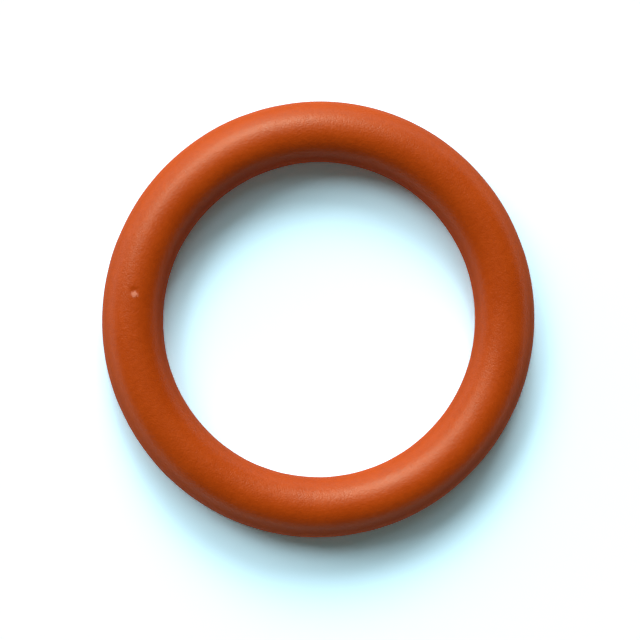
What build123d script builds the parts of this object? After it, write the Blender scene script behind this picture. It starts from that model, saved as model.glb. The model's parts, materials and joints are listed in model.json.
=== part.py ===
from build123d import *
import os

# A fluoroelastomer o-ring: one endless round cord, compression moulded in one piece.
# Millimetres. The ring lies in the XY plane, centred on the origin, and its axis is Z.

# --- The ring ---
inner_diameter = 13.94  # across the hole, between the round faces of the cord
cord_diameter = 2.62  # thickness of the cord

# --- The witness line ---
# The two halves of the mould close on the ring's middle plane. They leave a fine ridge
# around the hole and another around the outside, trimmed to a narrow flat land.
witness_width = 0.14  # across the ridge, along the ring's axis
witness_height = 0.04  # how far the land stands proud of the round face
witness_blend = 0.025  # radius that runs each side of the ridge into the round face

# --- Worked out from the sizes above ---
cord_circle_radius = (inner_diameter + cord_diameter) / 2

os.makedirs("parts", exist_ok=True)

with BuildPart() as o_ring:
    # One side of a cut through the ring: the round cord, with a ridge at each side of it.
    with BuildSketch(Plane.XZ) as section:
        with Locations((cord_circle_radius, 0)):
            Circle(cord_diameter / 2)
            Rectangle(cord_diameter + 2 * witness_height, witness_width)
        # From the hole outwards the corners come in pairs: the inner land's, its roots,
        # the outer land's roots and the outer land's.
        corner_pairs = section.vertices().group_by(Axis.X)
        fillet(corner_pairs[1] + corner_pairs[2], radius=witness_blend)
    revolve(axis=Axis.Z)

o_ring.part.label = "o_ring"
export_step(o_ring.part, "parts/o_ring.step")
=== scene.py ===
"""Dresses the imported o-ring: one moulded fluoroelastomer ring at rest on a white table.

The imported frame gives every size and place. This script adds the surface that the mould and the
trimming leave on the ring, its rubber finish, and the table, light and camera around it.
Lengths are metres.
"""

from __future__ import annotations

import json
import logging
import math
from dataclasses import dataclass, field
from enum import Enum
from typing import Mapping, Union

import bpy
from mathutils import Matrix, Vector


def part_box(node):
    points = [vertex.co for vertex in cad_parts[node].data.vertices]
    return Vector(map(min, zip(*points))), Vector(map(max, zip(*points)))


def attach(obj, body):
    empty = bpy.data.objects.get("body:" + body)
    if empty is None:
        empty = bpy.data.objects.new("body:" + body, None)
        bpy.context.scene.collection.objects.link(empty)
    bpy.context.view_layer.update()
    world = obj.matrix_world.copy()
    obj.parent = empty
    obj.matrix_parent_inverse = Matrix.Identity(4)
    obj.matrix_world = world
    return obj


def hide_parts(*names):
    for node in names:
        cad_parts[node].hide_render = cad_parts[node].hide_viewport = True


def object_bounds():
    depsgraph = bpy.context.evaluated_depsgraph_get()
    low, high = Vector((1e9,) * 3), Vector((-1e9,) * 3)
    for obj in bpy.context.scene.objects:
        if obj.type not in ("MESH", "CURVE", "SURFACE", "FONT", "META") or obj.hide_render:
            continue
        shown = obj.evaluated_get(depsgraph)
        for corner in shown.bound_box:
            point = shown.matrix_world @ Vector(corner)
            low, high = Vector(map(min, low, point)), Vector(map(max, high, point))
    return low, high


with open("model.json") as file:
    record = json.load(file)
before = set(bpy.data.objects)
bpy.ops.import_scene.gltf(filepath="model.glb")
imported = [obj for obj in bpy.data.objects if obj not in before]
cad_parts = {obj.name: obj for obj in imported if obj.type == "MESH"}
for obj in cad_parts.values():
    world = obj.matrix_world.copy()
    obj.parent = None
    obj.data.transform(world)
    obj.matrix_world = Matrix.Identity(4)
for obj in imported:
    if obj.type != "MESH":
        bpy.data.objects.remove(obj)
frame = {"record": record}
CAD_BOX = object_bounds()

LOG = logging.getLogger("o_ring")
MM = 0.001  # one millimetre
LAMP_DISTANCE = 0.3
TABLE_HALF = 1.0  # from the table's middle to its edge
VIEW_DEPTH = 100.0  # how far in front of and behind the ring the camera sees, as a factor
NOISE_MEAN = 0.5
EVEN_BLEND = 0.5  # Layer Weight's facing is then 1 less the cosine of the angle to the view
Colour = tuple[float, float, float]
Number = Union["Value", float]
WHITE: Colour = (1.0, 1.0, 1.0)


@dataclass(frozen=True)
class Step:
    """The range that a smooth step runs over.

    Attributes:
        full: where the step is 1.
        none: where it is 0.
    """

    full: float
    none: float

    def scaled(self, factor: float) -> "Step":
        """The same step on a range that is longer by a factor."""
        return Step(self.full * factor, self.none * factor)


@dataclass(frozen=True)
class Pattern:
    """Smooth noise that is fixed by its seed.

    Attributes:
        cell: the size of its lumps, in metres.
        seed: picks the pattern.
        detail: how many finer layers it has.
    """

    cell: float
    seed: Number
    detail: float


class Value:
    """A number socket that can be used in Python expressions.

    Each operator adds the Math node that works it out and returns its result.
    """

    def __init__(self, graph: "Graph", socket: bpy.types.NodeSocket) -> None:
        """Wraps a socket.

        Args:
            graph: the graph that holds the socket's node.
            socket: an output socket that gives one number.
        """
        self.graph = graph
        self.socket = socket

    def math(self, operation: str, *others: Number) -> "Value":
        """Adds one Math node with this value first.

        Args:
            operation: the node's operation, such as "ADD".
            *others: the values that follow this one.

        Returns:
            The node's result.
        """
        inputs = dict(enumerate((self, *others)))
        return self.graph.number("ShaderNodeMath", {"operation": operation}, inputs)

    def __add__(self, other: Number) -> "Value":
        """This value plus another."""
        return self.math("ADD", other)

    __radd__ = __add__

    def __sub__(self, other: Number) -> "Value":
        """This value less another."""
        return self.math("SUBTRACT", other)

    def __rsub__(self, other: float) -> "Value":
        """A plain number less this value."""
        return self * -1.0 + other

    def __mul__(self, other: Number) -> "Value":
        """This value times another."""
        return self.math("MULTIPLY", other)

    __rmul__ = __mul__

    def __truediv__(self, other: Number) -> "Value":
        """This value over another."""
        return self.math("DIVIDE", other)

    def __rtruediv__(self, other: float) -> "Value":
        """A plain number over this value."""
        return self.graph.number("ShaderNodeMath", {"operation": "DIVIDE"}, {0: other, 1: self})

    def __abs__(self) -> "Value":
        """This value without its sign."""
        return self.math("ABSOLUTE")

    def sine(self) -> "Value":
        """The sine of this angle."""
        return self.math("SINE")

    def cosine(self) -> "Value":
        """The cosine of this angle."""
        return self.math("COSINE")

    def root(self) -> "Value":
        """The square root of this value."""
        return self.math("SQRT")

    def fade(self, step: Step) -> "Value":
        """A smooth step over a range of this value.

        Args:
            step: the range.

        Returns:
            The step's height, from 0 to 1.
        """
        inputs = {
            "Value": self,
            "From Min": step.none,
            "From Max": step.full,
            "To Min": 0.0,
            "To Max": 1.0,
        }
        settings = {"interpolation_type": "SMOOTHSTEP"}
        return self.graph.number("ShaderNodeMapRange", settings, inputs, output="Result")


class Graph:
    """A node tree under construction, for a finish or for a piece's geometry."""

    def __init__(self, tree: bpy.types.NodeTree) -> None:
        """Starts on an empty tree.

        Args:
            tree: the tree to fill. Its old nodes are removed.
        """
        self.tree = tree
        tree.nodes.clear()

    def node(
        self,
        kind: str,
        settings: Mapping[str, object] | None = None,
        inputs: Mapping[str | int, object] | None = None,
    ) -> bpy.types.Node:
        """Adds a node.

        Args:
            kind: the node's type, such as "ShaderNodeMath".
            settings: the node's own properties, set first.
            inputs: for each input, by name or place, a value, a Value or a socket to link.

        Returns:
            The new node.
        """
        made = self.tree.nodes.new(kind)
        for name, setting in (settings or {}).items():
            setattr(made, name, setting)
        for key, given in (inputs or {}).items():
            target = self._input(made, key)
            source = given.socket if isinstance(given, Value) else given
            if isinstance(source, bpy.types.NodeSocket):
                self.tree.links.new(source, target)
            else:
                target.default_value = source
        return made

    def number(
        self,
        kind: str,
        settings: Mapping[str, object] | None = None,
        inputs: Mapping[str | int, object] | None = None,
        output: str | int = 0,
    ) -> Value:
        """Adds a node and takes one of its outputs as a number.

        Args:
            kind: as for node().
            settings: as for node().
            inputs: as for node().
            output: the output's name or place.

        Returns:
            The output, ready for expressions.
        """
        return Value(self, self.node(kind, settings, inputs).outputs[output])

    def noise(self, place: bpy.types.NodeSocket, pattern: Pattern) -> Value:
        """Adds smooth noise.

        Args:
            place: the position that the noise is read at, in metres.
            pattern: its size, seed and detail.

        Returns:
            The noise, from 0 to 1 and near NOISE_MEAN on the whole.
        """
        inputs = {
            "Vector": place,
            "W": pattern.seed,
            "Scale": 1 / pattern.cell,
            "Detail": pattern.detail,
        }
        return self.number("ShaderNodeTexNoise", {"noise_dimensions": "4D"}, inputs)

    def blend(self, factor: Number, first: object, second: object) -> bpy.types.NodeSocket:
        """Mixes two colours.

        Args:
            factor: 0 for the first colour and 1 for the second.
            first: a colour or a colour socket.
            second: a colour or a colour socket.

        Returns:
            The mixed colour.
        """
        inputs = {"Factor": factor, "A": _opaque(first), "B": _opaque(second)}
        mix = self.node("ShaderNodeMix", {"data_type": "RGBA"}, inputs)
        return next(out for out in mix.outputs if out.enabled)

    @staticmethod
    def _input(node: bpy.types.Node, key: str | int) -> bpy.types.NodeSocket:
        """The input of that name or place, among those that the node's settings leave in use."""
        if isinstance(key, int):
            return node.inputs[key]
        return next(socket for socket in node.inputs if socket.name == key and socket.enabled)


def _opaque(colour: object) -> object:
    """Gives a plain colour its alpha of 1, and leaves a socket as it is."""
    return (*colour, 1.0) if isinstance(colour, tuple) else colour


@dataclass(frozen=True)
class RingSizes:
    """The ring's own sizes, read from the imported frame.

    Attributes:
        cord_radius: half the thickness of the round cord.
        centre_radius: from the ring's axis to the middle of the cord.
        land_height: how far the witness line stands proud of the cord.
        land_width: the witness line's width along the axis.
    """

    cord_radius: float
    centre_radius: float
    land_height: float
    land_width: float

    @classmethod
    def from_frame(cls) -> "RingSizes":
        """Works the sizes out from the node's box and the record's two round mounts.

        Returns:
            The sizes in metres.
        """
        mounts = {mount["name"]: mount["dims"] for mount in frame["record"]["mounts"]}
        inside, outside = mounts["inside_diameter"], mounts["outside_diameter"]
        low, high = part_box("o_ring")
        cord_radius = (high[2] - low[2]) / 2
        span = (outside["r_mm"] - inside["r_mm"]) * MM
        return cls(
            cord_radius=cord_radius,
            centre_radius=(outside["r_mm"] + inside["r_mm"]) * MM / 2,
            land_height=span / 2 - cord_radius,
            land_width=outside["length_mm"] * MM,
        )

    def on_cord(self, turn: float, lift: float) -> Vector:
        """A point on the round face of the cord.

        Args:
            turn: the angle round the ring, in degrees from +X.
            lift: the angle round the cord, in degrees up from the outside.

        Returns:
            The point.
        """
        around, up = math.radians(turn), math.radians(lift)
        reach = self.centre_radius + self.cord_radius * math.cos(up)
        height = self.cord_radius * math.sin(up)
        return Vector((reach * math.cos(around), reach * math.sin(around), height))


class Relief(Enum):
    """Which way a mark goes from the round face."""

    SUNK = -1.0
    RAISED = 1.0


@dataclass(frozen=True)
class Mark:
    """A small flaw in the ring's face.

    Attributes:
        turn: its place round the ring, in degrees from +X.
        lift: its place round the cord, in degrees up from the outside.
        radius: how far it reaches.
        depth: how far it goes in or stands out.
        relief: whether it goes in or stands out.
    """

    turn: float
    lift: float
    radius: float
    depth: float
    relief: Relief


NICK = Mark(turn=170.6, lift=82.5, radius=0.25 * MM, depth=0.035 * MM, relief=Relief.SUNK)
NICK_LIP = Mark(
    turn=171.6, lift=84.5, radius=0.18 * MM, depth=0.004 * MM, relief=Relief.RAISED
)


@dataclass(frozen=True)
class RubberFinish:
    """Moulded orange-brown fluoroelastomer: satin, faintly mottled, paler on its trimmed lands.

    Attributes:
        deep: the darker of the two tones that the mottling runs between.
        bright: the lighter tone.
        worn: the paler tone of trimmed and torn rubber.
        gloss: the colour of its highlights.
        refraction: its index of refraction.
        roughness: of the moulded face.
        trimmed_roughness: added on the witness lands.
        edge_roughness: added where the face turns away, so that a matte face has no bright rim.
        cloud_roughness: how far the broad mottling changes the roughness.
        grain_roughness: how far the fine mottling changes it.
        trimmed_wear: how much of the worn tone the lands take.
        torn_wear: how much of it torn rubber takes.
        clouds: the broad mottling.
        grains: the fine mottling.
        pores: the fine texture of the face.
        jags: the ragged teeth round torn rubber.
        jag_reach: how far those teeth move its edge, from trough to tip.
        texture_height: how deep the fine texture is at full strength.
        texture_strength: the share of that depth that it has.
        grain_height: the fine mottling's depth over the pores' depth.
        cloud_share: the broad mottling's share of the tone. The fine mottling has the rest.
        toning: from the mottling, the bright tone at one end and the deep tone at the other.
        turning_away: how edge_roughness sets in, in 1 less the cosine of the angle to the view.
        trimming: the edge of a land, in land widths from the middle plane.
        tearing: the edge of the torn rubber, in radii of the nick's lip.
    """

    deep: Colour = (0.418, 0.0500, 0.0002)
    bright: Colour = (0.472, 0.0602, 0.0004)
    worn: Colour = (0.62, 0.2, 0.11)
    gloss: Colour = (1.0, 0.94, 0.68)
    refraction: float = 1.47
    roughness: float = 0.37
    trimmed_roughness: float = 0.2
    edge_roughness: float = 0.55
    cloud_roughness: float = 0.12
    grain_roughness: float = 0.1
    trimmed_wear: float = 0.15
    torn_wear: float = 0.9
    clouds: Pattern = Pattern(1.7 * MM, 3.0, 3.0)
    grains: Pattern = Pattern(0.22 * MM, 11.0, 2.0)
    pores: Pattern = Pattern(0.06 * MM, 23.0, 3.0)
    jags: Pattern = Pattern(0.07 * MM, 31.0, 2.0)
    jag_reach: float = 0.3 * MM
    texture_height: float = 0.03 * MM
    texture_strength: float = 0.6
    grain_height: float = 0.5
    cloud_share: float = 0.5
    toning: Step = Step(0.68, 0.32)
    turning_away: Step = Step(0.61, 0.1)
    trimming: Step = Step(0.42, 0.62)
    tearing: Step = Step(0.4, 1.0)

    def material(self, sizes: RingSizes) -> bpy.types.Material:
        """Builds the finish.

        Args:
            sizes: the ring's sizes, which place the lands and the marks.

        Returns:
            The material.
        """
        made = bpy.data.materials.new("moulded_fkm")
        made.use_nodes = True
        graph = Graph(made.node_tree)
        place = graph.node("ShaderNodeTexCoord").outputs["Object"]

        clouds = graph.noise(place, self.clouds)
        grains = graph.noise(place, self.grains)
        mottling = clouds * self.cloud_share + grains * (1.0 - self.cloud_share)
        colour = graph.blend(mottling.fade(self.toning), self.deep, self.bright)

        height = graph.number("ShaderNodeSeparateXYZ", None, {0: place}, output="Z")
        trimmed = abs(height).fade(self.trimming.scaled(sizes.land_width))
        colour = graph.blend(trimmed * self.trimmed_wear, colour, self.worn)
        torn = self._torn(graph, place, sizes)
        colour = graph.blend(torn * self.torn_wear, colour, self.worn)

        roughness = self.roughness + (clouds - NOISE_MEAN) * self.cloud_roughness
        roughness = roughness + (grains - NOISE_MEAN) * self.grain_roughness
        roughness = roughness + trimmed * self.trimmed_roughness
        away = graph.number("ShaderNodeLayerWeight", None, {"Blend": EVEN_BLEND}, output="Facing")
        roughness = roughness + away.fade(self.turning_away) * self.edge_roughness

        texture = {
            "Strength": self.texture_strength,
            "Distance": self.texture_height,
            "Height": graph.noise(place, self.pores) + grains * self.grain_height,
        }
        inputs = {
            "Base Color": colour,
            "Roughness": roughness,
            "Normal": graph.node("ShaderNodeBump", None, texture).outputs["Normal"],
            "IOR": self.refraction,
            "Specular Tint": _opaque(self.gloss),
        }
        shader = graph.node("ShaderNodeBsdfPrincipled", None, inputs)
        graph.node("ShaderNodeOutputMaterial", None, {"Surface": shader.outputs["BSDF"]})
        return made

    def _torn(self, graph: Graph, place: bpy.types.NodeSocket, sizes: RingSizes) -> Value:
        """Finds the torn rubber at the lip of the nick.

        Args:
            graph: the tree under construction.
            place: the position on the ring.
            sizes: the ring's sizes, which place the lip.

        Returns:
            1 where the rubber is torn, and 0 where it isn't.
        """
        away = {0: place, 1: sizes.on_cord(NICK_LIP.turn, NICK_LIP.lift)}
        distance = graph.number(
            "ShaderNodeVectorMath", {"operation": "DISTANCE"}, away, output="Value"
        )
        ragged = distance + (graph.noise(place, self.jags) - NOISE_MEAN) * self.jag_reach
        return ragged.fade(self.tearing.scaled(NICK_LIP.radius))


@dataclass
class MouldedRing:
    """The ring itself: a round cord bent into a circle, as the mould and the trimming leave it.

    Attributes:
        sizes: the ring's own sizes.
        finish: what it is made of.
        turns: mesh points round the ring.
        section_points: mesh points round the cord.
        trim: share of the land's height that the trimming takes away all round.
        waver: share of the rest that it takes away at most, here and there.
        waver_cell: how far it is, more or less, from one such place to the next.
        waver_detail: how many finer layers that noise has.
        wavering: from that noise, where the land is whole and where it is worn most.
        ridge: the edge of a land, in land widths from the middle plane.
        ripple_cell: size of the faint ripple in the moulded face.
        ripple_detail: how many finer layers the ripple has.
        ripple_height: how deep it is.
        nick_crowding: how strongly the mesh points crowd round the nick, under 1.
        land_crowding: how strongly they crowd at the lands, as the sizes of the sine terms of
            twice and of four times the angle round the cord.
        seed: fixes the noise.
    """

    sizes: RingSizes
    finish: RubberFinish = field(default_factory=RubberFinish)
    turns: int = 800
    section_points: int = 120
    trim: float = 0.14
    waver: float = 0.4
    waver_cell: float = 2.6 * MM
    waver_detail: float = 2.0
    wavering: Step = Step(0.40, 0.66)
    ridge: Step = Step(0.38, 0.58)
    ripple_cell: float = 2.2 * MM
    ripple_detail: float = 1.0
    ripple_height: float = 0.002 * MM
    nick_crowding: float = 0.5
    land_crowding: tuple[float, float] = (0.225, 0.0875)
    seed: float = 4.0

    def build(self) -> bpy.types.Object:
        """Makes the ring, puts it on its body and lets it stand for the CAD node.

        Returns:
            The finished piece.
        """
        holder = bpy.data.objects.new("moulded_ring", bpy.data.meshes.new("moulded_ring"))
        bpy.context.scene.collection.objects.link(holder)
        modifier = holder.modifiers.new("ring", "NODES")
        modifier.node_group = self._tree()
        values = {
            "Ring Points": self.turns,
            "Section Points": self.section_points,
            "Centre Radius": self.sizes.centre_radius,
            "Cord Radius": self.sizes.cord_radius,
            "Land Height": self.sizes.land_height * (1.0 - self.trim),
            "Land Width": self.sizes.land_width,
            "Waver": self.waver,
            "Seed": self.seed,
            "Finish": self.finish.material(self.sizes),
        }
        for item in modifier.node_group.interface.items_tree:
            if item.item_type == "SOCKET" and item.in_out == "INPUT":
                modifier[item.identifier] = values[item.name]
        self._bake(holder, modifier)
        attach(holder, "root")
        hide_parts("o_ring")
        return holder

    @staticmethod
    def _bake(holder: bpy.types.Object, modifier: bpy.types.Modifier) -> None:
        """Turns the modifier's result, whose faces point outward, into the piece's own mesh."""
        graph = bpy.context.evaluated_depsgraph_get()
        result = bpy.data.meshes.new_from_object(holder.evaluated_get(graph), depsgraph=graph)
        holder.modifiers.remove(modifier)
        result.name = holder.name
        holder.data = result

    def _tree(self) -> bpy.types.GeometryNodeTree:
        """Builds the geometry nodes that sweep and shape the ring.

        Returns:
            The tree, with named inputs for its sizes.
        """
        tree = bpy.data.node_groups.new("moulded_ring", "GeometryNodeTree")
        sockets = {
            "Ring Points": "NodeSocketInt",
            "Section Points": "NodeSocketInt",
            "Centre Radius": "NodeSocketFloat",
            "Cord Radius": "NodeSocketFloat",
            "Land Height": "NodeSocketFloat",
            "Land Width": "NodeSocketFloat",
            "Waver": "NodeSocketFloat",
            "Seed": "NodeSocketFloat",
            "Finish": "NodeSocketMaterial",
        }
        for name, kind in sockets.items():
            tree.interface.new_socket(name, in_out="INPUT", socket_type=kind)
        tree.interface.new_socket("Ring", in_out="OUTPUT", socket_type="NodeSocketGeometry")

        graph = Graph(tree)
        given = graph.node("NodeGroupInput").outputs
        path_inputs = {"Resolution": given["Ring Points"], "Radius": given["Centre Radius"]}
        path = graph.node("GeometryNodeCurvePrimitiveCircle", None, path_inputs)
        cord_inputs = {"Resolution": given["Section Points"], "Radius": given["Cord Radius"]}
        cord = graph.node("GeometryNodeCurvePrimitiveCircle", None, cord_inputs)
        sweep_inputs = {"Curve": path.outputs["Curve"], "Profile Curve": cord.outputs["Curve"]}
        swept = graph.node("GeometryNodeCurveToMesh", None, sweep_inputs)
        moved = self._shaped(graph, given)
        set_inputs = {"Geometry": swept.outputs["Mesh"], "Position": moved}
        placed = graph.node("GeometryNodeSetPosition", None, set_inputs)
        smooth = graph.node(
            "GeometryNodeSetShadeSmooth", None, {"Geometry": placed.outputs["Geometry"]}
        )
        real = graph.node(
            "GeometryNodeRealizeInstances", None, {"Geometry": smooth.outputs["Geometry"]}
        )
        dressed = graph.node(
            "GeometryNodeSetMaterial",
            None,
            {"Geometry": real.outputs["Geometry"], "Material": given["Finish"]},
        )
        graph.node("NodeGroupOutput", None, {"Ring": dressed.outputs["Geometry"]})
        return tree

    def _shaped(self, graph: Graph, given: bpy.types.NodeOutputs) -> bpy.types.NodeSocket:
        """Moves each point of the plain sweep to the shaped face of the ring.

        Args:
            graph: the tree under construction.
            given: the tree's named inputs.

        Returns:
            The new position.
        """
        centre = Value(graph, given["Centre Radius"])
        cord = Value(graph, given["Cord Radius"])
        seed = Value(graph, given["Seed"])
        position = graph.node("GeometryNodeInputPosition").outputs[0]
        parts = graph.node("ShaderNodeSeparateXYZ", None, {0: position}).outputs
        x, y, z = (Value(graph, parts[axis]) for axis in "XYZ")
        plain_turn = y.math("ARCTAN2", x)
        outward = (x * x + y * y).root() - centre
        plain_lift = z.math("ARCTAN2", outward)
        # The points crowd together round the nick and where the cord meets its witness lines.
        turn = plain_turn - (plain_turn - math.radians(NICK.turn)).sine() * self.nick_crowding
        broad, narrow = self.land_crowding
        lift = plain_lift - (plain_lift * 2.0).sine() * broad - (plain_lift * 4.0).sine() * narrow

        face = self._point(graph, turn, lift, centre, cord)
        off_middle = abs(lift.sine() * cord)
        land = Value(graph, given["Land Width"])
        ridge = (off_middle / land).fade(self.ridge)
        trimming = graph.noise(face, Pattern(self.waver_cell, seed, self.waver_detail))
        whole = trimming.fade(self.wavering)
        ridge = ridge * Value(graph, given["Land Height"])
        ridge = ridge * (1.0 - Value(graph, given["Waver"]) * (1.0 - whole))
        ripple = graph.noise(face, Pattern(self.ripple_cell, seed + 1.0, self.ripple_detail))
        reach = cord + ridge - ripple * self.ripple_height
        for mark in (NICK, NICK_LIP):
            away = {0: face, 1: self.sizes.on_cord(mark.turn, mark.lift)}
            distance = graph.number(
                "ShaderNodeVectorMath", {"operation": "DISTANCE"}, away, output="Value"
            )
            bowl = distance.fade(Step(0.0, mark.radius))
            reach = reach + bowl * (mark.depth * mark.relief.value)
        return self._point(graph, turn, lift, centre, reach)

    @staticmethod
    def _point(
        graph: Graph, turn: Value, lift: Value, centre: Value, reach: Value
    ) -> bpy.types.NodeSocket:
        """A point at a turn round the ring, a lift round the cord and a reach from its middle."""
        out = centre + reach * lift.cosine()
        inputs = {"X": out * turn.cosine(), "Y": out * turn.sine(), "Z": reach * lift.sine()}
        return graph.node("ShaderNodeCombineXYZ", None, inputs).outputs[0]


@dataclass(frozen=True)
class TableFinish:
    """A white table top, over-exposed, so that only the ring's shadow shows on it.

    Attributes:
        plain: its colour in the light that it sends back to the ring.
        shown: its colour in the picture and in reflections, where more than 1 is past white. The
            shadow turns cool as it fades, because the red in it is the last to reach white.
    """

    plain: Colour = (0.85, 0.85, 0.85)
    shown: Colour = (1.085, 1.62, 1.88)

    def material(self) -> bpy.types.Material:
        """Builds the finish.

        Returns:
            The material.
        """
        made = bpy.data.materials.new("white_table")
        made.use_nodes = True
        graph = Graph(made.node_tree)
        colour = graph.blend(_seen(graph), self.plain, self.shown)
        shader = graph.node("ShaderNodeBsdfDiffuse", None, {"Color": colour})
        graph.node("ShaderNodeOutputMaterial", None, {"Surface": shader.outputs["BSDF"]})
        return made


def _seen(graph: Graph) -> Value:
    """1 for rays from the camera and for mirror and glass rays, and 0 for the light's own."""
    outputs = graph.node("ShaderNodeLightPath").outputs
    camera, glossy, through = (
        Value(graph, outputs[name])
        for name in ("Is Camera Ray", "Is Glossy Ray", "Is Transmission Ray")
    )
    return camera + glossy + through


@dataclass(frozen=True)
class Lamp:
    """One soft lamp of the bank that lights the table.

    Attributes:
        azimuth: where it stands, in degrees round from +X.
        height: how high it stands, in degrees above the table.
        energy: its strength.
        width: how wide it looks from the ring, in degrees.
    """

    azimuth: float
    height: float
    energy: float
    width: float = 26.0

    def hang(self) -> None:
        """Hangs the lamp."""
        lamp = bpy.data.lights.new("softbox", "SUN")
        lamp.energy = self.energy
        lamp.angle = math.radians(self.width)
        holder = bpy.data.objects.new("softbox", lamp)
        towards = _direction(self.azimuth, self.height)
        holder.rotation_mode = "QUATERNION"
        holder.rotation_quaternion = towards.to_track_quat("Z", "Y")
        holder.location = towards * LAMP_DISTANCE
        bpy.context.scene.collection.objects.link(holder)


BANK = (
    Lamp(90.0, 35.0, 1.5),
    Lamp(110.0, 32.0, 1.1),
    Lamp(140.0, 42.0, 1.1),
    Lamp(95.0, 60.0, 0.3),
    Lamp(105.0, 20.0, 0.35),
    Lamp(150.0, 20.0, 0.3),
)


@dataclass(frozen=True)
class Studio:
    """The table, the light and the camera.

    Attributes:
        sizes: the ring's sizes, which set the camera's distance.
        table: the table's finish.
        lamps: the soft lamps, which act together as one wide light.
        fill: the colour and level of the light from all round.
        skyline: the top edge of the white that stands round the table, as the sine of its height.
        camera_azimuth: where the camera stands, in degrees round from +X.
        camera_tilt: how far it leans from straight above, in degrees.
        camera_reach: its distance in ring diameters.
        framing: the share of the picture's width that the ring takes.
    """

    sizes: RingSizes
    table: TableFinish = field(default_factory=TableFinish)
    lamps: tuple[Lamp, ...] = BANK
    fill: Colour = (0.080, 0.088, 0.075)
    skyline: Step = Step(0.06, 0.12)
    camera_azimuth: float = 162.7
    camera_tilt: float = 8.5
    camera_reach: float = 8.0
    framing: float = 0.68

    def build(self) -> None:
        """Makes everything that isn't the ring."""
        self._table()
        self._world()
        for lamp in self.lamps:
            lamp.hang()
        self._camera()

    def _table(self) -> None:
        """Lays the table under the ring."""
        half, level = TABLE_HALF, CAD_BOX[0][2]
        corners = [(x * half, y * half, level) for x, y in ((-1, -1), (1, -1), (1, 1), (-1, 1))]
        mesh = bpy.data.meshes.new("table")
        mesh.from_pydata(corners, [], [(0, 1, 2, 3)])
        mesh.materials.append(self.table.material())
        table = bpy.data.objects.new("table", mesh)
        bpy.context.scene.collection.objects.link(table)

    def _world(self) -> None:
        """Fills the room with even light, and shows white low down where the table ends."""
        world = bpy.data.worlds.new("room")
        world.use_nodes = True
        graph = Graph(world.node_tree)
        way = graph.node("ShaderNodeTexCoord").outputs["Generated"]
        height = graph.number("ShaderNodeSeparateXYZ", None, {0: way}, output="Z")
        low = height.fade(self.skyline)
        colour = graph.blend(_seen(graph) * low, self.fill, WHITE)
        light = graph.node("ShaderNodeBackground", None, {"Color": colour})
        graph.node("ShaderNodeOutputWorld", None, {"Surface": light.outputs["Background"]})
        bpy.context.scene.world = world

    def _camera(self) -> None:
        """Sets the camera above the ring, with +Y up in the picture."""
        across = 2 * (self.sizes.centre_radius + self.sizes.cord_radius)
        distance = across * self.camera_reach
        camera = bpy.data.cameras.new("camera")
        camera.lens = camera.sensor_width * self.camera_reach * self.framing
        camera.clip_start, camera.clip_end = distance / VIEW_DEPTH, distance * VIEW_DEPTH
        back = _direction(self.camera_azimuth, 90.0 - self.camera_tilt)
        right = Vector((0.0, 1.0, 0.0)).cross(back).normalized()
        turned = Matrix((right, back.cross(right), back)).transposed().to_4x4()
        holder = bpy.data.objects.new("camera", camera)
        holder.matrix_world = Matrix.Translation(back * distance) @ turned
        bpy.context.scene.collection.objects.link(holder)
        bpy.context.scene.camera = holder
        bpy.context.scene.view_settings.view_transform = "Standard"


def _direction(azimuth: float, height: float) -> Vector:
    """The unit vector towards an azimuth from +X and a height above the table, in degrees."""
    around, up = math.radians(azimuth), math.radians(height)
    flat = math.cos(up)
    return Vector((flat * math.cos(around), flat * math.sin(around), math.sin(up)))


def main() -> None:
    """Builds the ring and its surroundings."""
    logging.basicConfig(level=logging.INFO, format="%(name)s: %(message)s")
    sizes = RingSizes.from_frame()
    ring = MouldedRing(sizes).build()
    LOG.info("%s: %d faces", ring.name, len(ring.data.polygons))
    Studio(sizes).build()
    LOG.info("table, light and camera are in place")


if __name__ == "__main__":
    main()
